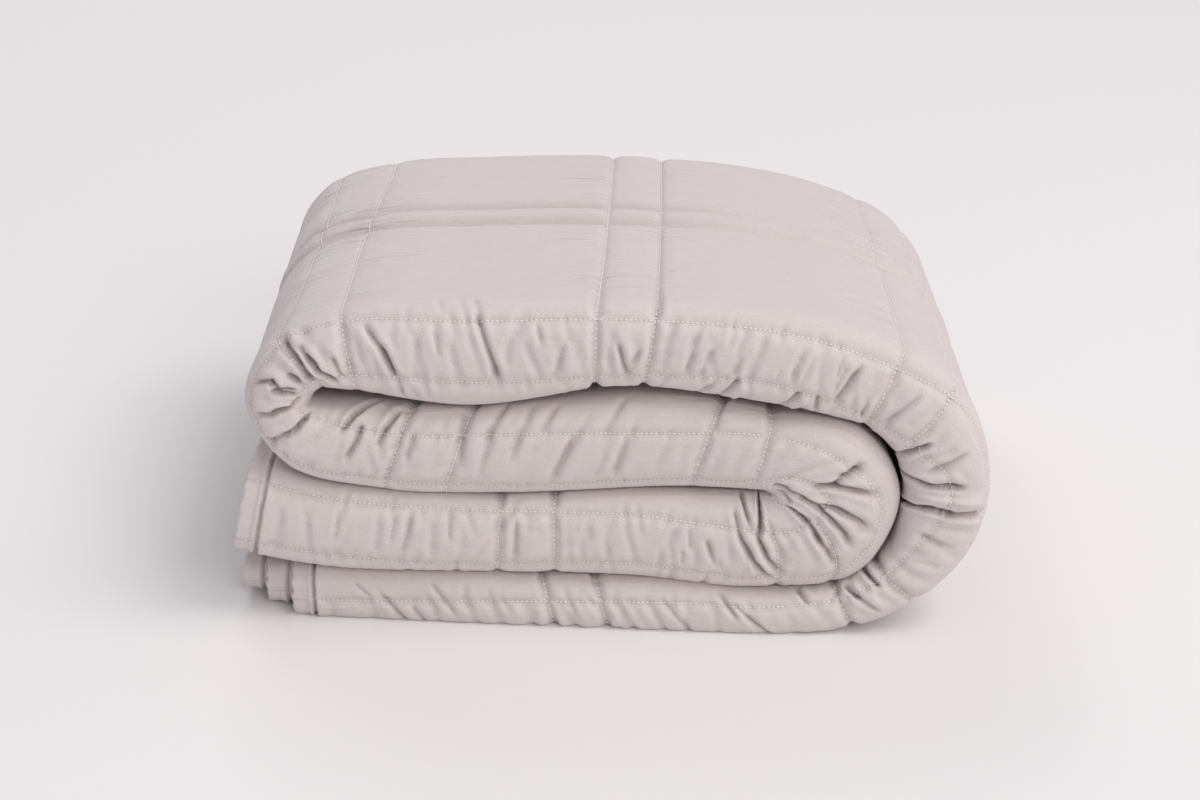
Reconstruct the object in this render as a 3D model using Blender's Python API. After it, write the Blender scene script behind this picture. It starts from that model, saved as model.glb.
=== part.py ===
"""Weighted blanket, folded: one quilted, filled cloth.

The flat blanket is folded lengthwise into a strip of plies, then the strip is folded in
half and in half again. The solid is that strip: a filled section with sewn channels,
lofted along the folded path from the bottom free end to the upper free end.
Metres, +Z up. The front fold faces -Y, the free ends are at -X.
"""
import math

import bmesh
import bpy
import numpy as np

# ---- real sizes -------------------------------------------------------------
CHANNEL = 0.029        # narrow run between the two seams of a pair
STRIP_DEPTH = 0.327    # front fold to back fold of the strip
SEAM_DIP = 0.0022      # how far a seam draws the outer ply in
SEAM_HALF = 0.0055     # half width of the groove at a seam
SQUARE_CROWN = 0.0026  # how far a quilted square swells over its seams
CHANNEL_CROWN = 0.0006
FRONT_NOSE = 0.017     # depth of the front fold, from its face to the flat of the strip
BACK_NOSE = 0.014      # the same at the back folds
BACK_DROP = 0.050      # share of its height that the stack loses at the back
BACK_DROP_RIGHT = 0.045  # and further towards the outer turn
RIGHT_REACH = 0.190
PUCKER = 0.0012        # uneven swell of the front fold
PUCKER_RATE = 87.0     # its turns in radians a metre of strip
FRONT_DIP = 0.0018     # how far a seam draws the front fold back
FOLD_EDGE = 0.9        # share of half the thickness past which the front fold is plain
SWELL_POWER = 0.6      # under 1: a square is full over most of its width

# The folded strip, from the bottom free end to the upper free end. Side A faces the floor
# in the bottom layer, out in the outer turn and up in the top layer. Side B is the other.
# name, A x, A z, B x, B z, set-back of the front fold, set-back of the back fold,
# how far the back lies beyond the front in X
STATIONS = (
    ("bottom_hem", -0.1630, -0.0005, -0.1630, 0.0280, 0.013, 0.006, -0.003),
    ("bottom_left", -0.1200, -0.0008, -0.1200, 0.0268, 0.011, 0.004, 0.000),
    ("bottom_mid", -0.0500, -0.0008, -0.0500, 0.0262, 0.006, 0.002, 0.000),
    ("bottom_right", 0.0297, -0.0008, 0.0303, 0.0248, 0.002, 0.001, 0.000),
    ("turn_foot", 0.0830, -0.0006, 0.0810, 0.0202, 0.000, 0.001, 0.000),
    ("turn_low", 0.1300, 0.0030, 0.1205, 0.0255, 0.000, 0.002, 0.001),
    ("turn_out_low", 0.1647, 0.0213, 0.1430, 0.0440, 0.001, 0.003, 0.002),
    ("turn_out", 0.1848, 0.0490, 0.1487, 0.0650, 0.002, 0.003, 0.003),
    ("turn_out_mid", 0.1900, 0.0830, 0.1490, 0.0800, 0.002, 0.003, 0.004),
    ("turn_out_high", 0.1805, 0.1175, 0.1465, 0.0965, 0.002, 0.003, 0.004),
    ("turn_high", 0.1575, 0.1450, 0.1335, 0.1105, 0.002, 0.002, 0.003),
    ("turn_top", 0.1200, 0.1615, 0.1090, 0.1172, 0.001, 0.002, 0.001),
    ("top_right", 0.0775, 0.1700, 0.0728, 0.1250, 0.000, 0.001, 0.000),
    ("top_mid", 0.0101, 0.1740, 0.0099, 0.1318, 0.000, 0.000, 0.000),
    ("top_left", -0.0711, 0.1725, -0.0689, 0.1212, 0.000, 0.000, -0.005),
    ("lobe_shoulder", -0.1285, 0.1680, -0.1240, 0.1280, 0.001, 0.002, -0.013),
    ("lobe_high", -0.1620, 0.1540, -0.1425, 0.1285, 0.002, 0.003, -0.018),
    ("lobe_out", -0.1792, 0.1215, -0.1485, 0.1205, 0.002, 0.004, -0.020),
    ("lobe_low", -0.1622, 0.0893, -0.1440, 0.1185, 0.002, 0.003, -0.017),
    ("second_left", -0.1160, 0.0748, -0.1130, 0.1175, 0.003, 0.002, -0.008),
    ("second_mid", -0.0493, 0.0725, -0.0507, 0.1180, 0.004, 0.001, -0.002),
    ("second_right", 0.0303, 0.0768, 0.0297, 0.1232, 0.004, 0.000, 0.000),
    ("inner_shoulder", 0.0690, 0.0768, 0.0800, 0.1165, 0.002, 0.001, 0.000),
    ("inner_high", 0.0780, 0.0765, 0.1255, 0.1065, 0.001, 0.002, 0.001),
    ("inner_out", 0.0805, 0.0750, 0.1455, 0.0735, 0.001, 0.003, 0.001),
    ("inner_low", 0.0780, 0.0732, 0.1275, 0.0315, 0.001, 0.002, 0.001),
    ("third_right", 0.0690, 0.0722, 0.0800, 0.0228, 0.001, 0.001, 0.000),
    ("third_mid", 0.0103, 0.0728, 0.0097, 0.0277, 0.003, 0.000, 0.000),
    ("third_left", -0.0697, 0.0703, -0.0703, 0.0282, 0.004, 0.001, -0.001),
    ("third_end", -0.1382, 0.0748, -0.1418, 0.0300, 0.004, 0.002, -0.004),
    ("upper_hem", -0.1765, 0.0835, -0.1910, 0.0370, 0.006, 0.004, -0.006),
)

# The front fold, from side B round to side A. The two long seams of the front pair draw
# it in. side is a share of half the thickness, depth a share of FRONT_NOSE
FRONT_FOLD = (
    (-1.00, 1.00),
    (-0.93, 0.50),
    (-0.82, 0.27),
    (-0.70, 0.29),
    (-0.57, 0.09),
    (-0.28, 0.01),
    (0.00, 0.00),
    (0.28, 0.01),
    (0.57, 0.09),
    (0.70, 0.29),
    (0.82, 0.27),
    (0.93, 0.50),
    (1.00, 1.00),
)

# The back, from side A round to side B: two nested folds beside the hems
BACK_FOLD = (
    (1.00, 1.00),
    (0.88, 0.26),
    (0.60, 0.02),
    (0.32, 0.42),
    (0.02, 0.04),
    (-0.30, 0.45),
    (-0.68, 0.04),
    (-1.00, 1.00),
)

# How far in from the face of the front fold the points of sides A and B lie. The two
# long seams that cross the middle are at 0.157 and 0.189
LONG_SEAMS = (0.157, 0.189)
FACE_DEPTHS = (0.062, 0.108, 0.151, 0.157, 0.173, 0.189, 0.195, 0.234, 0.274)
SWELL_ENDS = (0.012, 0.157, 0.189, 0.305)

# The middle of each pair of seams across the strip: the station it is nearest, and how
# far past that station it lies
SEAM_PAIRS = (
    ("bottom", "bottom_mid", 0.033),
    ("turn_foot", "turn_low", 0.010),
    ("turn_head", "turn_out_high", 0.023),
    ("top", "top_mid", 0.002),
    ("lobe", "lobe_shoulder", 0.012),
    ("second_left", "second_left", 0.017),
    ("second_right", "second_right", 0.031),
    ("inner", "third_right", -0.022),
    ("third", "third_left", -0.028),
)

# The bottom free end: nested hems, each beyond the one around it and inside it
HEM_COUNT = 3
HEM_STEP = 0.0145      # how far each one ends beyond the next
HEM_INSET = 0.0036     # how much thinner it is on each side
HEM_FRONT = 0.0090     # how much further back its front fold lies
HEM_LIP = 0.0030       # how far in from its faces a hem's edge lies
HEM_LIP_RUN = 0.0022   # run of strip from the edge to the full thickness
HEM_GAP = 0.0010       # how far short of the next edge a hem's faces stop

# The upper free end: the outer ply outruns the inner ones. Along the strip, and in from it
UPPER_END = (
    ("lip_outside", 0.0035, 0.0012),
    ("lip_edge", 0.0048, 0.0042),
    ("lip_inside", 0.0030, 0.0068),
    ("hollow", -0.0140, 0.0080),
)

RING_STEP = 0.030      # most of a run of strip between two rings
RING_TURN = math.radians(24)
TURN_PARTS = 16        # parts of a run in which its turn is added up
SMOOTH_STEPS = 24
HEADING_REACH = 0.003  # how far each way the heading and the room are taken
ROOM_REACH = 0.004


def clear_scene():
    for item in list(bpy.data.objects):
        bpy.data.objects.remove(item, do_unlink=True)


def between(a, b, at_a, at_b, at):
    return a * (at_b - at) / (at_b - at_a) + b * (at - at_a) / (at_b - at_a)


def curve_point(p, knots, at):
    """Centripetal Catmull-Rom between the middle two of four stations."""
    a = [between(p[k], p[k + 1], knots[k], knots[k + 1], at) for k in range(3)]
    b = [between(a[k], a[k + 1], knots[k], knots[k + 2], at) for k in range(2)]
    return between(b[0], b[1], knots[1], knots[2], at)


class Strip:
    """The folded strip as smooth functions of the distance along its middle."""

    def __init__(self):
        table = np.array([row[1:] for row in STATIONS])
        rows = np.vstack([2 * table[0] - table[1], table, 2 * table[-1] - table[-2]])
        middle = (rows[:, 0:2] + rows[:, 2:4]) / 2
        dense = []
        for i in range(1, len(rows) - 2):
            knots = [0.0]
            for k in range(3):
                step = np.linalg.norm(middle[i + k] - middle[i + k - 1])
                knots.append(knots[-1] + math.sqrt(step))
            for at in np.linspace(knots[1], knots[2], SMOOTH_STEPS, endpoint=False):
                dense.append(curve_point(rows[i - 1:i + 3], knots, at))
        dense.append(table[-1])
        self.rows = np.array(dense)
        middle = (self.rows[:, 0:2] + self.rows[:, 2:4]) / 2
        steps = np.linalg.norm(np.diff(middle, axis=0), axis=1)
        self.along = np.concatenate([[0.0], np.cumsum(steps)])
        self.total = self.along[-1]
        self.station = {}
        for i, row in enumerate(STATIONS):
            self.station[row[0]] = self.along[SMOOTH_STEPS * i]

    def at(self, s):
        return np.array([np.interp(s, self.along, col) for col in self.rows.T])

    def seams(self):
        places = []
        for _name, station, past in SEAM_PAIRS:
            middle = self.station[station] + past
            places += [middle - CHANNEL / 2, middle + CHANNEL / 2]
        return places

    def heading(self, s):
        """Unit step along the strip's middle."""
        a = self.at(max(s - HEADING_REACH, 0.0))
        b = self.at(min(s + HEADING_REACH, self.total))
        step = (b[0:2] + b[2:4] - a[0:2] - a[2:4]) / 2
        return step / np.linalg.norm(step)

    def room(self, s):
        """How much of the middle's run sides A and B have: under 1 inside a turn."""
        a = self.at(max(s - ROOM_REACH, 0.0))
        b = self.at(min(s + ROOM_REACH, self.total))
        run = np.linalg.norm(b[0:2] + b[2:4] - a[0:2] - a[2:4]) / 2
        side_a = np.linalg.norm(b[0:2] - a[0:2]) / run
        side_b = np.linalg.norm(b[2:4] - a[2:4]) / run
        return min(side_a, 1.0) ** 2, min(side_b, 1.0) ** 2


def groove(distance):
    """1 at a seam, easing to 0 at half the groove's width."""
    share = min(abs(distance) / SEAM_HALF, 1.0)
    return 0.5 + 0.5 * math.cos(math.pi * share)


def swell(at, ends):
    """0 at each of the ends and 1 midway, full over most of the run."""
    for a, b in zip(ends[:-1], ends[1:]):
        if a <= at <= b:
            return max(math.sin(math.pi * (at - a) / (b - a)), 0.0) ** SWELL_POWER
    return 0.0


def ring_places(strip, seams):
    """Close rings at each seam, wider ones over the squares, closer round the turns."""
    places = []
    cuts = [0.0, *seams, strip.total]
    for i, (a, b) in enumerate(zip(cuts[:-1], cuts[1:])):
        first = a + (SEAM_HALF if i else 0.0)
        last = b - (SEAM_HALF if i < len(cuts) - 2 else 0.0)
        turn = 0.0
        for s in np.linspace(first, last, TURN_PARTS + 1)[:-1]:
            one = strip.heading(s)
            two = strip.heading(s + (last - first) / TURN_PARTS)
            turn += math.acos(min(1.0, float(one @ two)))
        steps = math.ceil((last - first) / RING_STEP + turn / RING_TURN)
        places += list(np.linspace(first, last, steps + 1))
        if i < len(cuts) - 2:
            places.append(b)
    return places


def section_points():
    """Kind, depth and side of each point round the section."""
    points = [("front", depth, side) for side, depth in FRONT_FOLD]
    points += [("face", depth, 1.0) for depth in FACE_DEPTHS]
    points += [("back", depth, side) for side, depth in BACK_FOLD]
    points += [("face", depth, -1.0) for depth in reversed(FACE_DEPTHS)]
    return points


def ring(strip, points, seams, s, inset, set_back):
    """The section's points at one place along the strip, in space."""
    here = min(max(s, 0.0), strip.total)
    row = strip.at(here)
    middle = (row[0:2] + row[2:4]) / 2 + strip.heading(here) * (s - here)
    across = (row[0:2] - row[2:4]) / 2
    half = np.linalg.norm(across)
    normal = across / half
    room_a, room_b = strip.room(here)
    cuts = [0.0, *seams, strip.total]
    cut = max(i for i, place in enumerate(cuts[:-1]) if place <= here)
    crown = CHANNEL_CROWN if cut % 2 else SQUARE_CROWN
    along = swell(here, cuts[cut:cut + 2])
    dip = max(groove(here - place) for place in seams)
    front = row[4] + set_back
    back = STRIP_DEPTH - row[5] - inset
    verts = []
    for kind, u, side in points:
        lower = 0.0
        if kind == "front":
            inner = 1.0 if abs(side) < FOLD_EDGE else 0.0
            depth = front + FRONT_NOSE * u + FRONT_DIP * dip * inner
            depth += PUCKER * inner * math.sin(PUCKER_RATE * s) * (1.0 - dip)
        elif kind == "back":
            depth = back - BACK_NOSE * u
        else:
            depth = u
            room = room_a if side > 0 else room_b
            cross = max(groove(u - place) for place in LONG_SEAMS)
            level = crown * along * swell(u, SWELL_ENDS)
            lower = room * (crown - level + SEAM_DIP * max(dip, cross))
        share = depth / STRIP_DEPTH
        spot = middle + normal * side * (half - inset - lower)
        x = spot[0] + share * row[6]
        drop = BACK_DROP + BACK_DROP_RIGHT * max(x, 0.0) / RIGHT_REACH
        z = spot[1] * (1.0 - drop * share * share)
        verts.append((x, depth - STRIP_DEPTH / 2, max(z, 0.0)))
    return verts


def build_blanket():
    strip = Strip()
    seams = strip.seams()
    points = section_points()
    rings = []
    for k in range(HEM_COUNT - 1, -1, -1):
        edge = -HEM_STEP * k
        rings.append((edge, HEM_INSET * k + HEM_LIP, HEM_FRONT * k + HEM_LIP))
        rings.append((edge + HEM_LIP_RUN, HEM_INSET * k, HEM_FRONT * k))
        if k:
            rings.append((edge + HEM_STEP - HEM_GAP, HEM_INSET * k, HEM_FRONT * k))
    for s in ring_places(strip, seams)[1:]:
        rings.append((s, 0.0, 0.0))
    for _name, past, inset in UPPER_END:
        rings.append((strip.total + past, inset, inset))

    verts = []
    for s, inset, set_back in rings:
        verts += ring(strip, points, seams, s, inset, set_back)
    per = len(points)
    faces = []
    for r in range(len(rings) - 1):
        a = r * per
        b = a + per
        for i in range(per):
            j = (i + 1) % per
            faces.append((a + i, a + j, b + j, b + i))
    for start in (0, (len(rings) - 1) * per):
        faces += end_faces(start)

    mesh = bpy.data.meshes.new("blanket")
    mesh.from_pydata(verts, [], faces)
    fix = bmesh.new()
    fix.from_mesh(mesh)
    bmesh.ops.recalc_face_normals(fix, faces=fix.faces)
    fix.to_mesh(mesh)
    fix.free()
    return bpy.data.objects.new("blanket", mesh)


def end_faces(start):
    """Closes a free end: strips from side A to side B, and one face at each fold."""
    fold = len(FRONT_FOLD)
    side = len(FACE_DEPTHS)
    turn = len(BACK_FOLD)
    per = fold + side + turn + side
    top = list(range(fold - 1, fold + side + 1))
    low = [0, *range(per - 1, fold + side + turn - 2, -1)]
    faces = [tuple(range(fold)), tuple(range(fold + side, fold + side + turn))]
    for i in range(len(top) - 1):
        faces.append((top[i], top[i + 1], low[i + 1], low[i]))
    return [tuple(start + v for v in face) for face in faces]


def cloth_material():
    mat = bpy.data.materials.new("blanket_cloth")
    mat.use_nodes = True
    shader = mat.node_tree.nodes["Principled BSDF"]
    shader.inputs["Base Color"].default_value = (0.60, 0.53, 0.52, 1.0)
    shader.inputs["Roughness"].default_value = 0.85
    return mat


def centre(obj):
    """Puts the middle of the blanket's floor area at the origin."""
    xs = [v.co.x for v in obj.data.vertices]
    ys = [v.co.y for v in obj.data.vertices]
    for v in obj.data.vertices:
        v.co.x -= (min(xs) + max(xs)) / 2
        v.co.y -= (min(ys) + max(ys)) / 2
    obj.data.update()


clear_scene()
collection = bpy.data.collections.new("weighted_blanket")
bpy.context.scene.collection.children.link(collection)
blanket = build_blanket()
centre(blanket)
blanket.data.materials.append(cloth_material())
collection.objects.link(blanket)
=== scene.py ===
"""Looks of the folded weighted blanket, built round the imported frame."""
import math

import bpy
import numpy as np
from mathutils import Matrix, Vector
from numpy.linalg import norm


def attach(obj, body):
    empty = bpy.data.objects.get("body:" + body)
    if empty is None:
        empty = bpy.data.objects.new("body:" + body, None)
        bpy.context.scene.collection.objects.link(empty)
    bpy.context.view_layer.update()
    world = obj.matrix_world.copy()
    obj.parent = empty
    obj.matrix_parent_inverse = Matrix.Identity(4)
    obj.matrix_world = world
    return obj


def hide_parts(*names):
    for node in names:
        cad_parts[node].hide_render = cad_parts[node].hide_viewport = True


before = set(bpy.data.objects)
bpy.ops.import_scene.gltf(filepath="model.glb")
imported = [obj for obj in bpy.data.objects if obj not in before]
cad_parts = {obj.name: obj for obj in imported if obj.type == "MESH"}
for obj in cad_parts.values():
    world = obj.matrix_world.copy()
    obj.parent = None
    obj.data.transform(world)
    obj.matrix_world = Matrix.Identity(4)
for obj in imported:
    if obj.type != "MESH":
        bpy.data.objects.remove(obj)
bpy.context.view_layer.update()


# ---- Quilted cloth: its path ----
# Two layers of fine cotton with fibre and beads between them, sewn through in squares
# with narrow channels between. The cloth is folded into a strip of plies, and the strip
# in half and in half again. Its sections follow the solid's.

CHANNEL = 0.029
SQUARE = 0.126
STRIP_DEPTH = 0.327
FRONT_NOSE = 0.017
BACK_NOSE = 0.014
NOSE_POWER = 0.76
NOSE_STEP = 0.0004
HALF_THICK = 0.0215
THINNEST = 0.0006
BACK_DROP = 0.050
BACK_DROP_RIGHT = 0.045
RIGHT_REACH = 0.190
CENTRE_X = -0.0031

# Side A x, z; side B x, z; set-back of the front fold and of the back; how far the back
# lies beyond the front in X; how far round from the front's middle the front pair of
# seams lies, on side A and on side B
STATIONS = {
    "bottom_hem": (-0.1630, -0.0030, -0.1630, 0.0280, 0.013, 0.006, -0.003, 0.0360, 0.0030),
    "bottom_left": (-0.1200, -0.0035, -0.1200, 0.0268, 0.011, 0.004, 0.000, 0.0360, 0.0005),
    "bottom_mid": (-0.0500, -0.0035, -0.0500, 0.0262, 0.006, 0.002, 0.000, 0.0360, -0.0040),
    "bottom_right": (0.0297, -0.0035, 0.0303, 0.0248, 0.002, 0.001, 0.000, 0.0340, -0.0085),
    "turn_foot": (0.0830, -0.0025, 0.0810, 0.0202, 0.000, 0.001, 0.000, 0.0310, -0.0120),
    "turn_low": (0.1300, 0.0030, 0.1205, 0.0255, 0.000, 0.002, 0.001, 0.0260, -0.0145),
    "turn_out_low": (0.1647, 0.0213, 0.1430, 0.0440, 0.001, 0.003, 0.002, 0.0230, -0.0145),
    "turn_out": (0.1848, 0.0490, 0.1487, 0.0650, 0.002, 0.003, 0.003, 0.0220, -0.0060),
    "turn_out_mid": (0.1900, 0.0830, 0.1490, 0.0800, 0.002, 0.003, 0.004, 0.0230, 0.0010),
    "turn_out_high": (0.1805, 0.1175, 0.1437, 0.0950, 0.002, 0.003, 0.004, 0.0210, -0.0095),
    "turn_high": (0.1575, 0.1450, 0.1312, 0.1086, 0.002, 0.002, 0.003, 0.0135, -0.0165),
    "turn_top": (0.1200, 0.1615, 0.1090, 0.1172, 0.001, 0.002, 0.001, 0.0140, -0.0140),
    "top_right": (0.0775, 0.1700, 0.0728, 0.1250, 0.000, 0.001, 0.000, 0.0160, -0.0095),
    "top_mid": (0.0101, 0.1740, 0.0099, 0.1318, 0.000, 0.000, 0.000, 0.0165, -0.0140),
    "top_left": (-0.0711, 0.1725, -0.0689, 0.1212, 0.000, 0.000, -0.005, 0.0175, -0.0090),
    "lobe_shoulder": (-0.1285, 0.1680, -0.1240, 0.1280, 0.001, 0.002, -0.013, 0.0200, -0.0105),
    "lobe_high": (-0.1620, 0.1540, -0.1425, 0.1285, 0.002, 0.003, -0.018, 0.0210, -0.0135),
    "lobe_out": (-0.1792, 0.1215, -0.1485, 0.1205, 0.002, 0.004, -0.020, 0.0195, -0.0160),
    "lobe_low": (-0.1622, 0.0893, -0.1440, 0.1185, 0.002, 0.003, -0.017, 0.0160, -0.0175),
    "second_left": (-0.1160, 0.0748, -0.1130, 0.1175, 0.003, 0.002, -0.008, 0.0155, -0.0110),
    "second_mid": (-0.0493, 0.0725, -0.0507, 0.1180, 0.004, 0.001, -0.002, 0.0165, -0.0110),
    "second_right": (0.0303, 0.0768, 0.0297, 0.1232, 0.004, 0.000, 0.000, 0.0175, -0.0080),
    "inner_shoulder": (0.0690, 0.0768, 0.0800, 0.1165, 0.002, 0.001, 0.000, 0.0160, -0.0125),
    "inner_high": (0.0780, 0.0765, 0.1255, 0.1065, 0.001, 0.002, 0.001, 0.0080, -0.0095),
    "inner_out": (0.0805, 0.0750, 0.1455, 0.0735, 0.001, 0.003, 0.001, 0.0020, -0.0175),
    "inner_low": (0.0780, 0.0732, 0.1275, 0.0315, 0.001, 0.002, 0.001, 0.0060, -0.0170),
    "third_right": (0.0690, 0.0722, 0.0800, 0.0228, 0.001, 0.001, 0.000, 0.0085, -0.0155),
    "third_mid": (0.0103, 0.0728, 0.0097, 0.0277, 0.003, 0.000, 0.000, 0.0135, -0.0125),
    "third_left": (-0.0697, 0.0703, -0.0703, 0.0282, 0.004, 0.001, -0.001, 0.0165, -0.0155),
    "third_end": (-0.1382, 0.0748, -0.1418, 0.0300, 0.004, 0.002, -0.004, 0.0175, -0.0125),
    "upper_hem": (-0.1775, 0.0835, -0.1885, 0.0370, 0.006, 0.004, -0.006, 0.0180, -0.0125),
}
COLUMNS = ("a_x", "a_z", "b_x", "b_z", "front", "back", "flare", "row_a", "row_b")

# Each seam across the strip: the station it is nearest, how far past that it lies, how
# far on it runs for each metre towards side A round the front fold, how much further on
# it then is at the back and midway to it, and the share of its depth beyond each row
SEAMS = (  # station, past, lean, back, midway, beyond row A, beyond row B
    ("bottom_mid", 0.0201, 0.16, 0.0, 0.0, 0.6, 1.0),
    ("bottom_mid", 0.0473, 0.17, 0.0, 0.0, 0.6, 1.0),
    ("turn_low", -0.0051, 0.05, 0.0, 0.0, 0.5, 1.0),
    ("turn_low", 0.0245, 0.10, 0.0, 0.0, 0.5, 1.0),
    ("turn_out_high", 0.0088, 0.20, 0.0, 0.0, 0.35, 0.6),
    ("turn_out_high", 0.0374, 0.08, 0.0, 0.0, 0.6, 0.6),
    ("top_mid", -0.0107, -0.13, -0.0025, 0.0, 1.0, 0.7),
    ("top_mid", 0.0160, -0.03, -0.0024, 0.0, 1.0, 1.0),
    ("lobe_shoulder", 0.0008, 0.05, -0.0045, 0.0035, 0.4, 0.3),
    ("lobe_shoulder", 0.0250, 0.12, -0.0060, -0.0010, 0.35, 0.6),
    ("second_left", 0.0086, -0.31, 0.0, 0.0, 0.1, 1.0),
    ("second_left", 0.0388, -0.36, 0.0, 0.0, 0.1, 1.0),
    ("second_right", 0.0173, -0.275, 0.0, 0.0, 0.1, 1.0),
    ("second_right", 0.0468, 0.05, 0.0, 0.0, 0.1, 1.0),
    ("inner_low", -0.0073, -0.67, 0.0, 0.0, 0.6, 0.4),
    ("inner_low", 0.0188, -0.27, 0.0, 0.0, 0.6, 0.4),
    ("third_mid", 0.0373, 0.02, 0.0, 0.0, 1.0, 0.5),
    ("third_mid", 0.0653, -0.05, 0.0, 0.0, 1.0, 0.5),
)
BEND_FRONT = 0.035
BEND_RUN = 0.27
BEND_EASE = 3

# The back, from side A round to side B: share of half the thickness, share of BACK_NOSE
BACK_FOLD = ((1.00, 1.00), (0.93, 0.30), (0.66, 0.00), (0.38, 0.12), (0.33, 0.75),
             (0.28, 0.12), (0.02, 0.00), (-0.26, 0.12), (-0.31, 0.80), (-0.36, 0.12),
             (-0.66, 0.00), (-0.93, 0.30), (-1.00, 1.00))
BACK_STEP = 0.0022
SMOOTH_STEPS = 24
FINE_PARTS = 400


def blend_between(a, b, at_a, at_b, at):
    return a * (at_b - at) / (at_b - at_a) + b * (at - at_a) / (at_b - at_a)


def running(steps):
    """The distance from the start to the end of each step."""
    return np.concatenate([[0.0], np.cumsum(steps)])


def smooth_stations():
    """The stations joined by one smooth curve, and the distance along its middle."""
    table = np.array(list(STATIONS.values()))
    rows = np.vstack([2 * table[0] - table[1], table, 2 * table[-1] - table[-2]])
    middle = (rows[:, 0:2] + rows[:, 2:4]) / 2
    dense = []
    for i in range(1, len(rows) - 2):
        knot = [0.0]
        for k in range(3):
            step = norm(middle[i + k] - middle[i + k - 1])
            knot.append(knot[-1] + math.sqrt(step))
        p = rows[i - 1:i + 3]
        for at in np.linspace(knot[1], knot[2], SMOOTH_STEPS, endpoint=False):
            a = [blend_between(p[k], p[k + 1], knot[k], knot[k + 1], at) for k in range(3)]
            b = [blend_between(a[k], a[k + 1], knot[k], knot[k + 2], at) for k in range(2)]
            dense.append(blend_between(b[0], b[1], knot[1], knot[2], at))
    dense = np.array([*dense, table[-1]])
    middle = (dense[:, 0:2] + dense[:, 2:4]) / 2
    return dense, running(norm(np.diff(middle, axis=0), axis=1)), middle


strip, strip_along, strip_middle = smooth_stations()
strip_length = strip_along[-1]
strip_heading = np.gradient(strip_middle, strip_along, axis=0)
strip_heading /= norm(strip_heading, axis=1)[:, None]
station_at = {name: strip_along[SMOOTH_STEPS * i] for i, name in enumerate(STATIONS)}
cross_seams = np.array([station_at[near] + past for near, past, *_bends in SEAMS])
seams_and_ends = np.array([0.0, *cross_seams, strip_length])


def fold_outline(points, scale, step):
    """A line through the points, evenly cut, and the distance along it."""
    points = np.array(points)
    run = running(norm(np.diff(points * scale, axis=0), axis=1))
    want = np.linspace(0, run[-1], math.ceil(run[-1] / step) + 1)
    return np.stack([np.interp(want, run, points[:, k]) for k in range(2)], axis=1), want


quarter = np.linspace(0, math.pi / 2, FINE_PARTS)
nose_points = np.stack([np.sin(quarter) ** NOSE_POWER, 1 - np.cos(quarter) ** NOSE_POWER], 1)
nose_line, nose_run = fold_outline(nose_points, (HALF_THICK, FRONT_NOSE), NOSE_STEP)
back_line, back_run = fold_outline(BACK_FOLD, (HALF_THICK, BACK_NOSE), BACK_STEP)
for _ in range(2):
    back_line[1:-1] = (back_line[:-2] + 2 * back_line[1:-1] + back_line[2:]) / 4
face_run = STRIP_DEPTH - FRONT_NOSE - BACK_NOSE
nose_girth = nose_run[-1]
face_girth = nose_girth + face_run
half_girth = face_girth + back_run[-1] / 2


def section_at(s, girth, inset, set_back):
    """Points of the full section: s along the strip, girth from the front's middle."""
    here = np.clip(s, 0.0, strip_length)
    row = {name: np.interp(here, strip_along, col) for name, col in zip(COLUMNS, strip.T)}
    head = [np.interp(here, strip_along, strip_heading[:, k]) * (s - here) for k in range(2)]
    across_x = (row["a_x"] - row["b_x"]) / 2
    across_z = (row["a_z"] - row["b_z"]) / 2
    half = np.hypot(across_x, across_z)
    girth = (girth + half_girth) % (2 * half_girth) - half_girth
    size = np.abs(girth)
    from_a = np.where(girth >= 0, girth, girth + 2 * half_girth) - face_girth
    nose_share = np.interp(size, nose_run, nose_line[:, 0]) * np.sign(girth)
    side = np.where(size <= face_girth, nose_share, np.interp(from_a, back_run, back_line[:, 0]))
    front = row["front"] + set_back
    back = STRIP_DEPTH - row["back"] - inset
    nose_depth = front + FRONT_NOSE * np.interp(size, nose_run, nose_line[:, 1])
    face_share = np.clip((size - nose_girth) / face_run, 0, 1)
    face_depth = front + FRONT_NOSE + (back - BACK_NOSE - front - FRONT_NOSE) * face_share
    back_depth = back - BACK_NOSE * (1 - np.interp(from_a, back_run, 1 - back_line[:, 1]))
    depth = np.where(size <= nose_girth, nose_depth, face_depth)
    depth = np.where(size > face_girth, back_depth, depth)
    reach = side * np.maximum(half - inset, THINNEST) / half
    x = (row["a_x"] + row["b_x"]) / 2 + head[0] + across_x * reach
    z = (row["a_z"] + row["b_z"]) / 2 + head[1] + across_z * reach
    return np.stack([x, depth, z], axis=-1)


# ---- Quilted cloth: its skin ----
# One grid over the whole strip: rows along it, with one on every cross seam, and columns
# round it, with one on every long seam. The ends run back inside themselves as hems.

ROW_STEP = 0.00100
FINE_STEP = 0.00105
SEAM_STEP = 0.00180
WIDE_STEP = 0.0090
SEAM_GROWTH = 0.14
FINE_GROWTH = 0.10
SQUARE_DEEP = 0.157
CHANNEL_DEEP = 0.032
LONG_SEAMS = np.cumsum([CHANNEL / 2, SQUARE_DEEP, CHANNEL_DEEP, SQUARE_DEEP])
FINE_REACH = 0.040

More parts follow.
